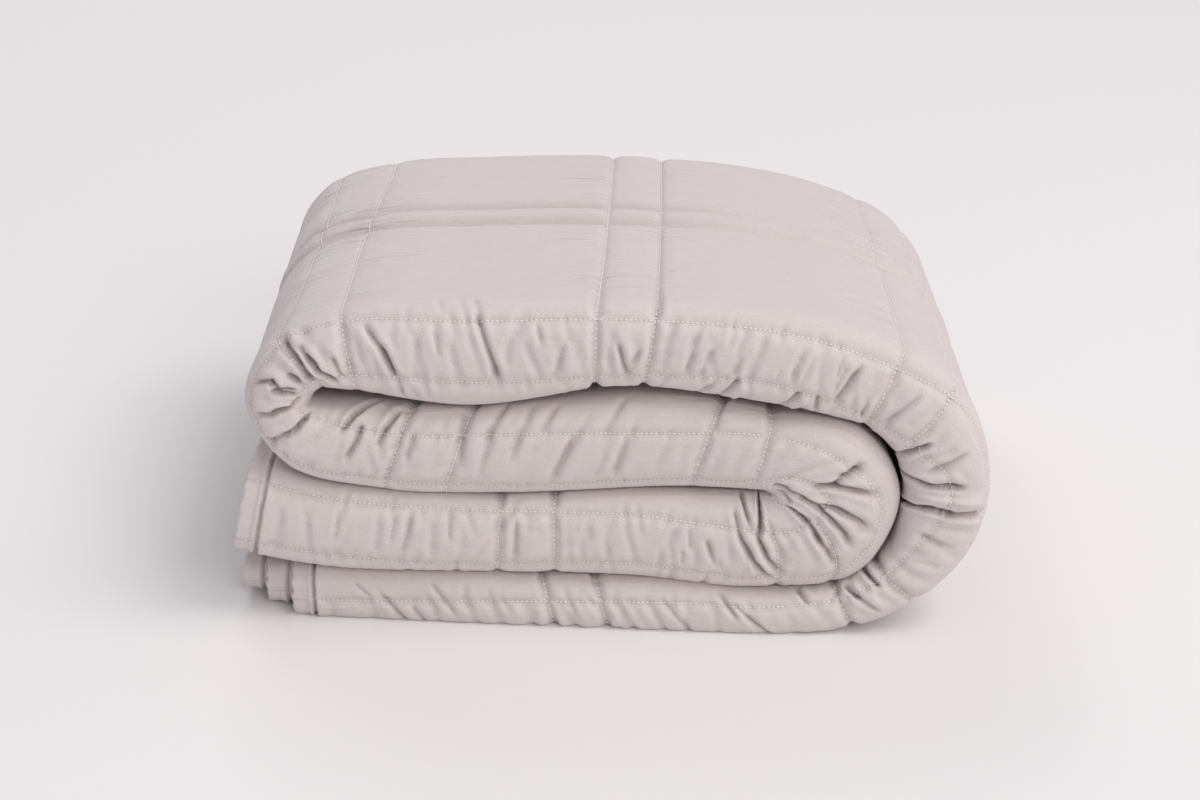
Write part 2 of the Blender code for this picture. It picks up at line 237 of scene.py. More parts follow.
# Nested hems at each free end, outermost first: how far each runs past the strip's end,
# how far in it lies, and how much further back its front fold is
BOTTOM_HEMS = ((0.0, 0.0, 0.0), (0.0145, 0.0036, 0.0090), (0.0290, 0.0072, 0.0180))
UPPER_HEMS = ((0.0040, 0.0, 0.0), (-0.0060, 0.0055, 0.0055), (-0.0130, 0.0110, 0.0110))
BOTTOM_THICK = 0.0032
UPPER_THICK = 0.0042
HEM_WIDE = 0.0160
HEM_LINE = 0.0115
HEM_RIDGE = 0.0019
HEM_FURROW = 0.0016
RIDGE_WIDE, RIDGE_SHARE, FURROW_WIDE = 0.55, 0.6, 0.4
HEM_HOLLOW = 0.0120
RIM_ROWS = 7

# The hem's scalloped edge: height, length, and a second wave's share and pace; how far
# round each nested hem's waves are turned from the last one's
SCALLOP = 0.00035
SCALLOP_LONG = 0.0095
SCALLOP_SHARE = 0.6
SCALLOP_PACE = 0.63
SCALLOP_TURN = 2.1


def spaced(a, b, step_at):
    """Places from a up to b, as far apart as step_at says where they are."""
    fine = np.linspace(a, b, FINE_PARTS)
    run = running(np.diff(fine) / step_at((fine[:-1] + fine[1:]) / 2))
    return np.interp(np.linspace(0, run[-1], math.ceil(run[-1] - 1e-6) + 1), run, fine)[:-1]


def column_step(u):
    near = np.min(np.abs(u[:, None] - LONG_SEAMS[1:3]), axis=1)
    far = np.minimum(SEAM_STEP + SEAM_GROWTH * near, FINE_STEP + FINE_GROWTH * (u - FINE_REACH))
    return np.where(u < FINE_REACH, FINE_STEP, np.clip(far, FINE_STEP, WIDE_STEP))


def column_places():
    ends = [0.0, *LONG_SEAMS, half_girth]
    right = np.concatenate([spaced(a, b, column_step) for a, b in zip(ends[:-1], ends[1:])])
    return np.concatenate([[-half_girth], -right[:0:-1], right])


def hem_rows(end, way, hems, thick):
    """Rows of nested hems, from the innermost's hollow out to the outermost's lip."""
    rows = []
    r = thick / 2
    steps = max(round(HEM_HOLLOW / ROW_STEP), 3)
    for k in range(len(hems) - 1, -1, -1):
        past, inset, set_back = hems[k]
        inner = hems[k + 1][0] if k + 1 < len(hems) else past
        deep = min(past, inner) - HEM_HOLLOW
        for at in np.linspace(deep, past - r, steps)[:-1]:
            rows.append((end + way * at, inset + thick, set_back + thick, 0, k))
        for turn in np.radians(np.linspace(90, -90, RIM_ROWS)):
            rim = r + r * math.sin(turn)
            rows.append((end + way * (past - r + r * math.cos(turn)), inset + rim,
                         set_back + rim, 1, k))
        if k:
            tuck = min(past, hems[k - 1][0]) - HEM_HOLLOW
            count = math.ceil((past - r - tuck) / ROW_STEP)
            for at in np.linspace(past - r, tuck, count + 1)[1:]:
                lift = max(1 - (past - at) / HEM_WIDE, 0)
                rows.append((end + way * at, inset, set_back, lift, k))
    return rows


def all_rows():
    """Each row's place, inset, set-back, hem lift and hem, and where the strip's own lie."""
    runs = [spaced(a, b, lambda at: np.full_like(at, ROW_STEP))
            for a, b in zip(seams_and_ends[:-1], seams_and_ends[1:])]
    own = np.concatenate([*runs, [strip_length]])
    own = own[own > BOTTOM_THICK]
    lower = hem_rows(0.0, -1, BOTTOM_HEMS, BOTTOM_THICK)
    upper = hem_rows(strip_length, 1, UPPER_HEMS, UPPER_THICK)[::-1]
    lift = np.maximum(1 - own / HEM_WIDE, 0)
    lift += np.maximum(1 - (strip_length + UPPER_HEMS[0][0] - own) / HEM_WIDE, 0)
    middle = np.stack([own, 0 * own, 0 * own, lift, 0 * own], axis=1)
    return np.concatenate([lower, middle, upper]), len(lower), len(lower) + len(own)


u_at = column_places()
row_table, first_own, end_own = all_rows()
s_at, inset_at, set_back_at, lift_at, hem_at = row_table.T
m_at = running(np.hypot(np.diff(s_at), np.diff(inset_at)))
m_at += s_at[first_own] - m_at[first_own]
way_at = np.where(np.arange(len(s_at)) < (first_own + end_own) // 2, -1, 1)
own_at = (np.arange(len(s_at)) >= first_own) & (np.arange(len(s_at)) < end_own)

row_a = np.interp(s_at, strip_along, strip[:, 7])[:, None]
row_b = np.interp(s_at, strip_along, strip[:, 8])[:, None]
seam_u = CHANNEL / 2
beyond = np.clip(np.abs(u_at) - seam_u, 0, None)[None, :] / (half_girth - seam_u)
share_a = np.clip((u_at / seam_u + 1) / 2, 0, 1)[None, :]
girth_grid = row_b + (row_a - row_b) * share_a
girth_grid = np.where(u_at > seam_u, row_a + (half_girth - row_a) * beyond, girth_grid)
girth_grid = np.where(u_at < -seam_u, row_b - (half_girth + row_b) * beyond, girth_grid)

lean_at, back_at, bulge_at = (np.interp(s_at, seams_and_ends, [0.0, *column, 0.0])[:, None]
                              for column in list(zip(*SEAMS))[2:5])
beyond_a = np.clip((girth_grid - row_a) / BEND_RUN, 0, 1)
beyond_b = np.clip((-girth_grid - 0.5 * half_girth) / (0.5 * half_girth), 0, 1)
eased_a = 1 - np.exp(-BEND_EASE * beyond_a)
bend_a = lean_at * row_a + back_at * eased_a / (1 - math.exp(-BEND_EASE))
bend_a += bulge_at * np.sin(math.pi * beyond_a)
bend_b = lean_at * np.maximum(girth_grid, -BEND_FRONT)
bend_b += beyond_b * (lean_at * (row_a + BEND_FRONT) + back_at)
lean_grid = np.where(girth_grid > row_a, bend_a, bend_b)
round_at = 2 * math.pi * u_at[None, :] / SCALLOP_LONG + SCALLOP_TURN * hem_at[:, None]
scallop = SCALLOP * (np.sin(round_at) + SCALLOP_SHARE * np.sin(SCALLOP_PACE * round_at + 1))
s_grid = s_at[:, None] + lean_grid + (way_at * lift_at)[:, None] * scallop
skin = section_at(s_grid, girth_grid, inset_at[:, None], set_back_at[:, None])


def outward_of(points):
    """Unit normals of a grid of points, pointing out of the strip."""
    around = np.roll(points, -1, axis=1) - np.roll(points, 1, axis=1)
    out = np.cross(around, np.gradient(points, axis=0))
    return out / np.maximum(norm(out, axis=-1, keepdims=True), 1e-9)


outward = outward_of(skin)


# ---- Quilted cloth: its sewing and creases ----
# The seams draw the skin in, the filling swells it between them, and it is gathered: the
# cloth is longer than its seams, so it buckles into puckers, and pleats inside the turns.

CROSS_DEPTH = 0.0017
FACE_SEAM_DEPTH = 0.0018
ROW_DEPTH = 0.0008
SEAM_REACH = 0.0090
SWELL = 0.0015
SWELL_REACH = 0.045
PUFF = 0.0015
ROW_SOFT = 0.006
ROW_SWELL = 0.5
ROOM_FULL = 1.3
ROOM_LEAST = 0.05
HEM_FADE = 0.003
HEM_TURN_IN = 0.004
SEAM_HOLD = 0.0004

# The front zone, in reaches: whole up to 1.2 of them from the front's middle, none at 2.2
FRONT_SPAN = 2.2
FRONT_REACH = 0.030

# The pair of long seams midway back on each face, and the shade painted along it: how strong, how far
# behind each seam and how far before it, and what is left of it at the right, where the light falls
# across the top
PAIR_DEPTH = 0.0022
PAIR_REACH = 0.013
PAIR_RIDGE = 0.0012
PAIR_SHADE = 0.60
SHADE_BEHIND = 0.013
SHADE_BEFORE = 0.0012
SHADE_RIGHT = 0.3

# The large creases of the front, one by one, under the station each is measured from:
# how far past it and how far round from the front's middle (side A is plus) one end is,
# the same for the other end, half width and depth, all in millimetres
CREASES = {
    "bottom_left": ((-11, -13, -2, -3, 3.0, 0.8), (3, -6, 16, 17, 3.6, 1.2), (19, 3, 26, 17, 3.2, 0.9),
        (29, -16, 42, 9, 3.8, 0.9)),
    "bottom_right": ((-2, -10, 13, 16, 4.0, 0.9),),
    "turn_foot": ((16, -28, 21, -14, 3.2, 1.6), (-25, -20, -16, 0, 4.0, 1.6),
        (-18, -14, 0, 16, 3.6, 1.4)),
    "turn_low": ((12, -32, 17, -11, 2.6, 2.8), (-1, -24, 5, -9, 3.0, 2.4), (5, -10, 11, 9, 3.2, 1.5)),
    "turn_out": ((3, -38, 9, -22, 3.6, 5.4), (8, -24, 12, -10, 3.4, 5.4), (12, -13, 11, 3, 3.0, 4.4),
        (11, 1, 13, 23, 2.8, 3.4), (19, -16, 17, 18, 5.0, -1.8), (-6, -12, -4, 11, 4.0, 1.1)),
    "turn_out_mid": ((11, -11, 15, 12, 4.2, 1.5), (13, -30, 9, -20, 3.6, 4.0),
        (10, -22, 2, -10, 3.4, 4.4), (3, -12, 0, 7, 2.8, 3.2), (8, -8, 6, 6, 4.5, -1.0)),
    "turn_out_high": ((3, -24, 1, -4, 3.2, 4.1),),
    "turn_high": ((16, -7, 15, -18, 2.2, 1.4), (0, -14, -4, 8, 3.6, 1.3)),
    "turn_top": ((10, -12, 9, -22, 2.4, 2.0), (3, 11, 4, -1, 2.4, 0.9), (0, 7, 3, -7, 2.4, 1.2),
        (-6, 8, 1, -13, 3.0, 2.2)),
    "top_right": ((31, 12, 35, 5, 2.6, 0.5), (25, 4, 30, -10, 3.6, 1.1), (22, -13, 31, -24, 2.6, 1.4),
        (15, 13, 17, 6, 2.8, 0.6), (10, 2, 14, -8, 3.2, 0.9), (11, -10, 20, -24, 2.6, 2.8),
        (6, -13, 13, -24, 4.0, -1.2), (-9, -2, -7, -9, 2.6, 0.7), (-19, 9, -14, -9, 3.4, 0.9),
        (-24, 7, -19, -10, 2.8, 0.7), (-21, -12, -12, -24, 2.6, 2.8), (-26, -13, -18, -24, 4.0, -1.2)),
    "top_mid": ((36, -10, 31, 6, 3.4, 0.8), (5, 5, 1, -13, 2.6, 2.0), (-1, -7, -6, 1, 2.8, 1.1),
        (-31, 1, -28, -10, 2.2, 1.0), (-19, -12, -16, -23, 2.2, 0.8)),
    "top_left": ((14, 14, 12, 3, 3.4, 0.9), (-5, 33, -9, 17, 4.0, 0.6), (-7, 20, -12, 5, 3.0, 1.9),
        (-12, 6, -16, -8, 3.0, 2.4), (2, 34, -2, 19, 3.4, 0.3), (12, 33, 10, 21, 3.0, 0.3),
        (-36, 15, -38, 6, 2.6, 0.9)),
    "lobe_shoulder": ((8, 2, 6, -10, 2.6, 1.6), (-9, 16, -16, 5, 3.2, 1.5), (-16, 6, -22, -9, 3.2, 3.2),
        (-23, -9, -25, -20, 3.4, 1.2)),
    "lobe_high": ((-2, 24, -3, 12, 2.8, 3.2), (-3, 13, -4, 1, 2.8, 3.6), (-4, 2, -3, -12, 2.6, 3.0),
        (-7, 13, -8, 3, 2.8, 3.0), (-8, 5, -10, -6, 2.8, 4.2), (-9, -5, -17, -14, 2.8, 4.0),
        (5, 2, 4, -9, 2.4, 2.4)),
    "lobe_out": ((-8, 19, -12, 8, 2.6, 2.8), (-12, 9, -11, 1, 2.6, 3.8), (-10, 2, -15, -9, 2.6, 3.2),
        (-8, 5, -9, -3, 2.4, 4.0), (-9, -2, -12, -12, 2.4, 3.2), (-10, -15, 0, -11, 2.8, 2.4),
        (3, 15, 3, 3, 2.6, 3.0), (3, 4, -1, -11, 2.6, 3.6)),
    "lobe_low": ((-8, 20, -7, 4, 2.8, 2.8), (-7, 5, -4, -8, 2.8, 3.8), (-5, -6, -4, -19, 2.8, 3.4)),
    "second_left": ((-20, -11, -14, -21, 3.0, 3.0), (-15, -20, -1, -32, 3.0, 3.6),
        (-9, -15, -11, -5, 3.0, 2.6), (-11, -6, -15, 4, 3.0, 2.4), (0, -5, 4, -14, 2.8, 2.4),
        (3, -12, 11, -24, 2.8, 2.6), (14, 2, 18, -11, 3.2, 1.1)),
    "second_mid": ((-24, 5, -20, -27, 5.1, 1.3), (-11, -7, 1, -28, 4.9, 1.2), (1, 2, 14, -25, 4.9, 0.9),
        (17, -11, 26, -24, 4.6, 1.0), (-15, 10, -7, -11, 5.1, 1.0), (21, 14, 33, -8, 5.1, 1.5)),
    "second_right": ((-33, -6, -20, -26, 4.9, 0.9), (-38, 12, -30, 0, 4.1, 0.8),
        (-28, 13, -20, -8, 4.6, 1.2)),
    "inner_high": ((12, 1, 7, -15, 3.0, 3.5), (-8, 15, 8, 14, 3.6, 3.0), (7, 15, 20, 10, 2.8, 2.8),
        (19, 12, 28, 3, 2.4, 3.2), (27, 5, 39, -11, 2.4, 3.2), (1, 18, 27, 15, 2.6, 2.0)),
    "inner_out": ((-11, 4, -2, -14, 2.6, 3.2), (2, 5, 9, -13, 2.6, 3.2), (11, -8, 10, -19, 2.6, 1.7)),
    "inner_low": ((-14, 15, -8, 6, 2.4, 2.8), (-9, 8, -2, -2, 2.4, 3.0), (-3, 1, 2, -12, 2.2, 2.6),
        (12, 30, 26, 6, 3.2, 3.8)),
    "third_right": ((-2, 7, -6, -13, 3.2, 2.6), (4, 31, 1, 12, 2.6, 2.4), (9, 18, 7, 4, 2.8, 1.4),
        (7, 6, -3, -18, 3.4, 2.4), (25, 4, 21, -8, 3.2, 1.4)),
    "third_mid": ((-31, 10, -31, -2, 3.2, 1.2), (-27, -9, -28, -2, 2.8, 0.9)),
    "third_left": ((29, 14, 34, -9, 3.8, 1.1), (10, 16, 10, 0, 3.4, 0.8),
        (-24, 12, -23, -11, 3.2, 1.2)),
    "third_end": ((-4, 13, -2, -3, 3.4, 0.9), (-33, 13, -30, -2, 3.4, 0.8)),
}

# Each is pressed in before and after the cloth relaxes, then once more as a narrower line
PRESS_FIRST = 0.55
PRESS_LAST = 0.55
LINE_WIDE = 0.52
LINE_DEEP = 0.70
CREASE_PAD = 3
TAPER_RUN = 0.25
TAPER_LEAST = 0.35
VALLEY_POWER = 1.7
SHOULDER = 0.28
SOFT_SHOULDER = 0.5
SHOULDER_AT = 1.15
SHOULDER_WIDE = 0.45
SHARP_BLUR = 8
SHARP_VALLEY = 0.8
SHARP_CREST = 0.2
# The shade painted into the cloth's creases: how deep a place is pressed in for the full shade, and the
# shares of the narrow crease lines and of the hems' furrows in it
FULL_SHADE_DEPTH = 0.0034
CRISP_SHADE = 1.6
HEM_SHADE = 0.8

# Scattered puckers: small ones across the front's lower row of sewing, its upper row or
# between the two, broad soft folds, and small ones off the cross seams. Depths and half
# widths are in millimetres, gaps and reaches in metres
PUCKER_DEEP, PUCKER_WIDE, PUCKER_GAP = (0.20, 0.75), (1.8, 3.4), (0.0030, 0.0090)
BROAD_DEEP, BROAD_WIDE, BROAD_GAP = (0.25, 0.75), (3.5, 6.0), (0.009, 0.020)
SEAM_DEEP, SEAM_WIDE, SEAM_GAP = (0.2, 0.5), (1.4, 2.4), (0.003, 0.008)
BELOW_SHARE, ABOVE_SHARE = 0.45, 0.80
BELOW_ROW = (0.004, 0.014), (0.006, 0.016)
ABOVE_ROW = (0.005, 0.014), (0.000, 0.006)
BETWEEN_ROWS = (0, 0.004), (0, 0.004)
BROAD_ROWS = (-0.006, 0.006), (-0.010, 0.004)
PUCKER_FIRST, BROAD_FIRST, BROAD_LAST = (0.002, 0.006), (0.004, 0.012), 0.004
PUCKER_LEAN, BROAD_LEAN = 0.25, 0.2
PUCKERS_FROM, PUCKERS_TO = 0.014, 0.012
SEAM_RUN, SEAM_OFF, SEAM_STRAY = (0.005, 0.014), 0.0008, 0.0015
SEAM_LOW, SEAM_HIGH = -0.034, 0.036

# How much longer the cloth is than its seams, in thousandths
GATHERS = (  # station, beyond row A, between the rows, beyond row B
    ("bottom_hem", 8, 14, 8), ("bottom_mid", 10, 16, 10), ("turn_foot", 12, 26, 18),
    ("turn_low", 14, 24, 16), ("turn_out_mid", 14, 24, 18), ("turn_top", 10, 16, 10),
    ("top_right", 5, 16, 8), ("top_mid", 4, 14, 8), ("top_left", 5, 12, 4),
    ("lobe_shoulder", 10, 14, 4), ("lobe_out", 4, 12, 12), ("second_left", 3, 12, 12),
    ("second_right", 3, 12, 12), ("inner_high", 8, 14, 10), ("inner_low", 12, 14, 10),
    ("third_right", 12, 10, 4), ("third_mid", 14, 8, 3), ("upper_hem", 18, 8, 3),
)
GATHER_BLUR = 4

# How the gathered cloth relaxes: the least and most it stretches along the strip, more
# where it has room, and round it; how fast it shortens, straightens and goes back to its
# goal; and how far it rises and sinks, with more at the front, and slides
LEAST_ALONG, MOST_ALONG, MOST_MORE, ROUND = 1.003, 1.006, 0.10, 1.012
TIGHT_ROOM, ROOM_SPAN = 0.65, 0.33
SHORTEN, STIFF_ALONG, STIFF_ROUND = 0.46, 0.045, 0.05
PULL_FRONT, PULL_BEHIND = 0.010, 0.10
RISE, RISE_MORE, SINK, SINK_MORE, SLIDE = 0.0004, 0.0009, 0.0040, 0.0045, 0.0022
UNEVEN = 0.00008
HOLD_EVERY = 5
ROUNDS = 90
rng = np.random.default_rng(11)


def quarter_round(distance, reach):
    """0 at a seam, rising like a quarter circle to 1 at the reach."""
    share = np.clip(distance / reach, 0, 1)
    return np.sqrt(1 - (1 - share) ** 2)


def step_lengths(points):
    along = norm(np.diff(points, axis=0), axis=-1)
    around = norm(np.diff(points, axis=1), axis=-1)
    return along, around


def cloth_share():
    """The cloth's own length for each metre of the strip's middle, from its squares."""
    own = np.full(len(seams_and_ends) - 1, SQUARE)
    own[1::2] = CHANNEL
    own[[0, -1]] += HEM_WIDE - HEM_TURN_IN
    middle = (seams_and_ends[:-1] + seams_and_ends[1:]) / 2
    return np.interp(s_at, middle, own / np.diff(seams_and_ends))


long_cuts = np.array([*LONG_SEAMS, *-LONG_SEAMS])
to_long = np.min(np.abs(u_at[:, None] - long_cuts), axis=1)[None, :]
to_cross = np.min(np.abs(s_at[:, None] - cross_seams), axis=1)[:, None]
to_cross = np.where(own_at[:, None], to_cross, 1.0)
skin_along = step_lengths(skin)[0]
cloth_step = np.diff(m_at) * (cloth_share()[:-1] + cloth_share()[1:]) / 2
room = np.clip(skin_along / np.maximum(cloth_step[:, None], 1e-6), ROOM_LEAST, 1)
room = np.vstack([room, room[-1:]])
front_zone = np.clip(FRONT_SPAN - np.abs(girth_grid) / FRONT_REACH, 0, 1)
own_zone = own_at[:, None].astype(float)
pair_middle = (np.abs(u_at) - (LONG_SEAMS[1] + LONG_SEAMS[2]) / 2)[None, :]


def sewn_in():
    """How far in from the full section the quilting draws the skin."""
    nearest = np.argmin(np.abs(s_at[:, None] - cross_seams), axis=1)
    keep_a, keep_b = np.array([row[5:7] for row in SEAMS])[nearest].T[..., None]
    past_a = np.clip((girth_grid - row_a) / ROW_SOFT, 0, 1)
    past_b = np.clip((row_b - girth_grid) / ROW_SOFT, 0, 1)
    keep = 1 - (1 - keep_a) * past_a - (1 - keep_b) * past_b
    long_depth = FACE_SEAM_DEPTH + (ROW_DEPTH - FACE_SEAM_DEPTH) * front_zone
    sewn = np.hypot(long_depth * (1 - quarter_round(to_long, SEAM_REACH)),
                    CROSS_DEPTH * keep * (1 - quarter_round(to_cross, SEAM_REACH)))
    cross = 1 - (1 - quarter_round(to_cross, SWELL_REACH)) * keep
    rows = 1 - (1 - quarter_round(to_long, SWELL_REACH)) * (1 - ROW_SWELL * front_zone)
    swell = rows * cross
    pair = np.min(np.abs(np.abs(u_at)[:, None] - LONG_SEAMS[1:3]), axis=1)[None, :]
    ridge = PAIR_DEPTH * (1 - quarter_round(pair, PAIR_REACH))
    puffed = PUFF * front_zone + PAIR_RIDGE * np.clip(1 - (pair_middle / PAIR_REACH) ** 2, 0, 1)
    quilted = np.clip((HEM_WIDE * (1 - lift_at) - HEM_LINE) / HEM_FADE, 0, 1)[:, None] * own_zone
    drawn = (sewn + SWELL * (1 - swell) + ridge) * np.minimum(room * ROOM_FULL, 1)
    return (drawn - puffed) * quilted


def hem_line():
    """The topstitched line along each hem: a furrow with a low ridge on either side."""
    off = np.where(lift_at > 0, HEM_WIDE * (1 - lift_at) - HEM_LINE, 1.0)[:, None]
    ridge = np.exp(-((np.abs(off) - HEM_RIDGE) / (RIDGE_WIDE * HEM_RIDGE)) ** 2)
    furrow = np.exp(-(off / (FURROW_WIDE * HEM_RIDGE)) ** 2)
    return HEM_FURROW * furrow - RIDGE_SHARE * HEM_FURROW * ridge


def add_crease(field, s_a, g_a, s_b, g_b, wide, deep, soft=False):
    """Presses one crease into the field: a sharp valley between two soft shoulders."""
    pad = CREASE_PAD * wide
    lo, hi = np.searchsorted(s_at[first_own:end_own], [min(s_a, s_b) - pad, max(s_a, s_b) + pad])
    rows = slice(first_own + lo, first_own + hi)
    s, g = s_grid[rows], girth_grid[rows]
    cols = np.where((g.min(0) < max(g_a, g_b) + pad) & (g.max(0) > min(g_a, g_b) - pad))[0]
    if hi <= lo or not len(cols):
        return
    cols = slice(cols[0], cols[-1] + 1)
    s, g = s[:, cols], g[:, cols]
    run = np.hypot(s_b - s_a, g_b - g_a)
    head = ((s_b - s_a) / run, (g_b - g_a) / run)
    t = ((s - s_a) * head[0] + (g - g_a) * head[1]) / run
    off = np.abs((s - s_a) * head[1] - (g - g_a) * head[0]) / wide
    taper = np.clip(np.minimum(t, 1 - t) / TAPER_RUN + TAPER_LEAST, 0, 1)
    valley = np.clip(1 - off * off, 0, 1) ** 2 if soft else np.clip(1 - off, 0, 1) ** VALLEY_POWER
    high = SOFT_SHOULDER if soft else SHOULDER
    shoulder = high * np.exp(-((off - SHOULDER_AT) / SHOULDER_WIDE) ** 2)
    field[rows, cols] += deep * taper * (valley - shoulder)


def scattered_puckers(field):
    """Small puckers square to the seams, and broad soft folds between them."""
    starts = [PUCKERS_FROM, *cross_seams]
    for s_a, s_b in zip(starts, [*cross_seams, strip_length - PUCKERS_TO]):
        at = s_a + rng.uniform(*PUCKER_FIRST)
        while at < s_b:
            row = np.argmin(np.abs(s_at - at))
            a, b = row_a[row, 0], row_b[row, 0]
            lean = lean_at[row, 0] + rng.normal(0, PUCKER_LEAN)
            kind = rng.random()
            deep = rng.uniform(*PUCKER_DEEP) * 1e-3
            wide = rng.uniform(*PUCKER_WIDE) * 1e-3
            if kind < BELOW_SHARE:
                g_a, g_b = b - rng.uniform(*BELOW_ROW[0]), b + rng.uniform(*BELOW_ROW[1])
            elif kind < ABOVE_SHARE:
                g_a, g_b = a - rng.uniform(*ABOVE_ROW[0]), a + rng.uniform(*ABOVE_ROW[1])
            else:
                g_a, g_b = b + rng.uniform(*BETWEEN_ROWS[0]), a - rng.uniform(*BETWEEN_ROWS[1])
            add_crease(field, at + lean * g_a, g_a, at + lean * g_b, g_b, wide, deep)
            at += rng.uniform(*PUCKER_GAP)
        at = s_a + rng.uniform(*BROAD_FIRST)
        while at < s_b - BROAD_LAST:
            row = np.argmin(np.abs(s_at - at))
            a, b = row_a[row, 0], row_b[row, 0]
            lean = 2 * lean_at[row, 0] + rng.normal(0, BROAD_LEAN)
            g_a, g_b = b - rng.uniform(*BROAD_ROWS[0]), a + rng.uniform(*BROAD_ROWS[1])
            add_crease(field, at + lean * g_a, g_a, at + lean * g_b, g_b,
                       rng.uniform(*BROAD_WIDE) * 1e-3, rng.uniform(*BROAD_DEEP) * 1e-3, soft=True)
            at += rng.uniform(*BROAD_GAP)
    for seam in cross_seams:
        for side in (-1, 1):
            g = SEAM_LOW
            while g < SEAM_HIGH:
                g += rng.uniform(*SEAM_GAP)
                run = rng.uniform(*SEAM_RUN)
                near = seam + side * SEAM_OFF
                add_crease(field, near, g, near + side * run, g + rng.normal(0, SEAM_STRAY),
                           rng.uniform(*SEAM_WIDE) * 1e-3, rng.uniform(*SEAM_DEEP) * 1e-3)


def blurred(field, rounds):
    """The field smoothed along and round the strip."""
    field = field.copy()
    for _ in range(rounds):
        field[1:-1] = (field[:-2] + 2 * field[1:-1] + field[2:]) / 4
        field[:, 1:-1] = (field[:, :-2] + 2 * field[:, 1:-1] + field[:, 2:]) / 4
    return field


def tighten(one, two, rest, free_one, free_two):
    """Draws neighbours towards their length at rest."""
    gap = two - one
    size = np.sqrt((gap * gap).sum(-1, keepdims=True)) + 1e-9
    gap *= SHORTEN * (size - rest) / size
    one += gap * free_one
    two -= gap * free_two


def straighten(points, free, stiff):
    """Resists bending from each line of the grid to the next."""
    lap = points[2:] + points[:-2] - 2 * points[1:-1]
    bend = np.zeros_like(points)
    bend[1:-1] -= 2 * lap
    bend[2:] += lap
    bend[:-2] += lap
    points -= stiff * bend * free


def relaxed(goal, rounds):
    """Lets the gathered cloth buckle round the goal, held at its seams."""
    points = np.float32(goal)
    goal = points.copy()
    out = np.float32(outward)
    base = np.float32(skin)
    held = (to_long < SEAM_HOLD) | (to_cross < SEAM_HOLD) | ~own_at[:, None]
    held |= (lift_at > 0)[:, None]
    free = np.float32(~held)[..., None]
    along, around = step_lengths(points)
    gathers_at = np.array([station_at[row[0]] for row in GATHERS])
    beyond_a, between, beyond_b = (
        np.interp(s_at, gathers_at, [row[k] / 1000 for row in GATHERS])[:, None] for k in (1, 2, 3))
    gather = np.where(girth_grid > row_a, beyond_a, np.where(girth_grid < row_b, beyond_b, between))
    gather = blurred(gather, GATHER_BLUR)[:-1]
    most = MOST_ALONG + MOST_MORE * np.clip((room[:-1] - TIGHT_ROOM) / ROOM_SPAN, 0, 1)
    rest_along = np.clip(cloth_step[:, None] * (1 + gather), along * LEAST_ALONG, along * most)
    rest_along = np.float32(np.where(own_at[:-1, None], rest_along, along))[..., None]
    rest_around = np.float32(around * ROUND)[..., None]
    wild = np.float32(rng.normal(0, UNEVEN, size=points.shape[:2]))
    points += out * (wild * np.float32(front_zone))[..., None] * free
    pull = np.float32(PULL_FRONT + PULL_BEHIND * (1 - front_zone))[..., None]
    high = np.float32(RISE + RISE_MORE * front_zone)
    low = np.float32(SINK + SINK_MORE * front_zone)
    both_ways = ((points, rest_along, free, STIFF_ALONG),
                 (points.swapaxes(0, 1), rest_around.swapaxes(0, 1), free.swapaxes(0, 1), STIFF_ROUND))
    for turn in range(rounds):
        for grid, rest, loose, _stiff in both_ways:
            for start in (0, 1):
                stop = start + (grid.shape[0] - start) // 2 * 2
                a, b = slice(start, stop, 2), slice(start + 1, stop, 2)
                tighten(grid[a], grid[b], rest[a], loose[a], loose[b])
        for grid, _rest, loose, stiff in both_ways:
            straighten(grid, loose, stiff)
        points += pull * (goal - points) * free
        if turn % HOLD_EVERY == HOLD_EVERY - 1 or turn == rounds - 1:
            off = points - base
            rise = (off * out).sum(-1)
            slide = off - out * rise[..., None]
            size = norm(slide, axis=-1, keepdims=True) + 1e-9
            slide *= np.minimum(1, SLIDE / size)
            points[:] = base + slide + out * np.clip(rise, -low, high)[..., None]
    return points


scattered = np.zeros(skin.shape[:2])
scattered_puckers(scattered)
pressed = np.zeros(skin.shape[:2])
crisp = np.zeros(skin.shape[:2])
for near, creases in CREASES.items():
    at = station_at[near]
    for past_a, g_a, past_b, g_b, wide, deep in creases:
        ends = (at + past_a / 1000, g_a / 1000, at + past_b / 1000, g_b / 1000)
        add_crease(pressed, *ends, wide / 1000, deep / 1000)
        add_crease(crisp, *ends, LINE_WIDE * wide / 1000, LINE_DEEP * deep / 1000)
goal = skin - outward * (sewn_in() + hem_line() + scattered + PRESS_FIRST * pressed)[..., None]
skin_done = relaxed(goal, ROUNDS)

# Valleys between puckers narrow to creases; their crests stay round
rise = ((skin_done - skin) * outward).sum(-1)
detail = (rise - blurred(rise, SHARP_BLUR)) * front_zone * own_zone
sharp = SHARP_VALLEY * np.minimum(detail, 0) + SHARP_CREST * np.maximum(detail, 0)
skin_done = skin_done + outward * (sharp - PRESS_LAST * pressed - crisp)[..., None]
# Shade is painted darker into the cloth by how far each place is pressed in, in its creases and the
# hems' furrows
shade_depth = PRESS_LAST * pressed + CRISP_SHADE * crisp - sharp - detail
shade_depth += HEM_SHADE * np.maximum(hem_line(), 0)
painted_shade = np.clip(shade_depth / FULL_SHADE_DEPTH, 0, 1)
# Painted shade on the far side of each seam of the long pair, less of it towards the right where the
# light falls across the top
past_seam = np.abs(u_at)[:, None] - LONG_SEAMS[1:3]
pair_shade = np.where(past_seam > 0, np.clip(1 - past_seam / SHADE_BEHIND, 0, 1),
                      np.exp(-(past_seam / SHADE_BEFORE) ** 2)).max(axis=1)
fade = np.interp(s_at, [station_at["top_right"], station_at["top_mid"]], [SHADE_RIGHT, 1.0])
painted_shade = np.maximum(painted_shade, PAIR_SHADE * fade[:, None] * pair_shade[None, :] * own_zone)


